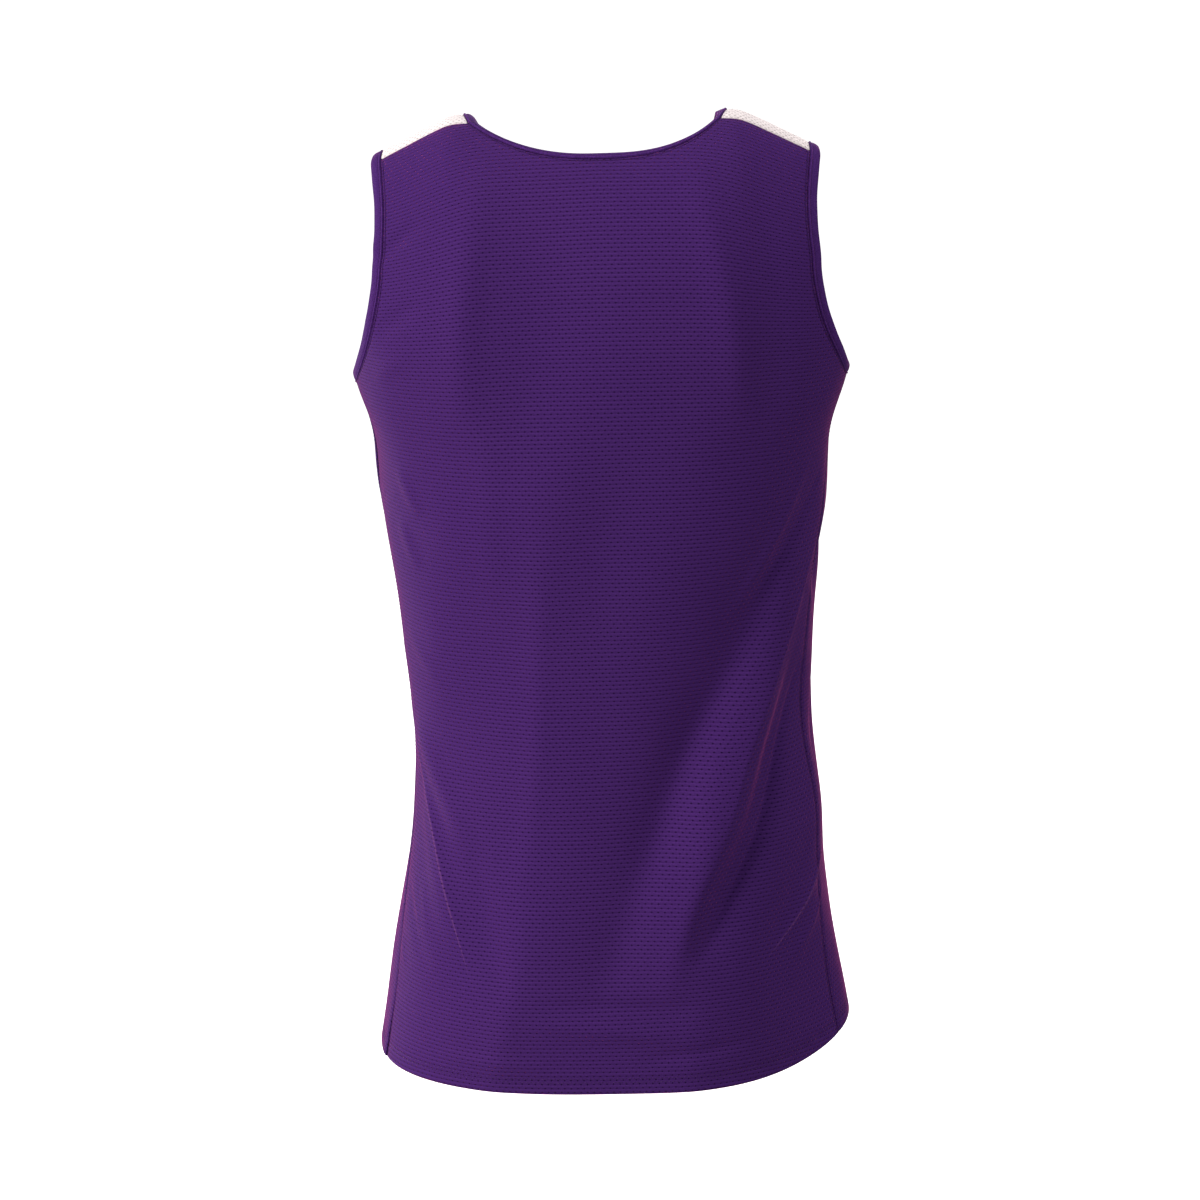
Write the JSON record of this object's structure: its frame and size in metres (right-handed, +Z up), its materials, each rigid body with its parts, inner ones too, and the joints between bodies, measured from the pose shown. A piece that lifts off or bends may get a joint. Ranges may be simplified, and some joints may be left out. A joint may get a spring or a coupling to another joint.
{
  "type": "basketball jersey",
  "caption": "Sleeveless basketball jersey in pinhole mesh with contrast shoulder yokes, bound neck and armholes and a turned-up hem, filled out as worn.",
  "frame": {"origin": "midway between the shoulder ridges beside the neck, at their height, where the wearer's shoulders hold the jersey", "axes": "+Z up; +Y the way the wearer faces, so the back panel is on the -Y side; +X towards the wearer's right"},
  "size_m": [0.3874, 0.2802, 0.7517],
  "materials": {
    "purple_mesh": "matte knitted mesh with small holes",
    "white_mesh": "matte knitted mesh with small holes",
    "purple_binding": "matte folded knit strip"
  },
  "bodies": {
    "root": {"back_panel": "purple_mesh", "front_panel": "purple_mesh", "yoke_left": "white_mesh", "yoke_right": "white_mesh", "neck_binding": "purple_binding", "arm_binding_left": "purple_binding", "arm_binding_right": "purple_binding"}
  },
  "joints": []
}
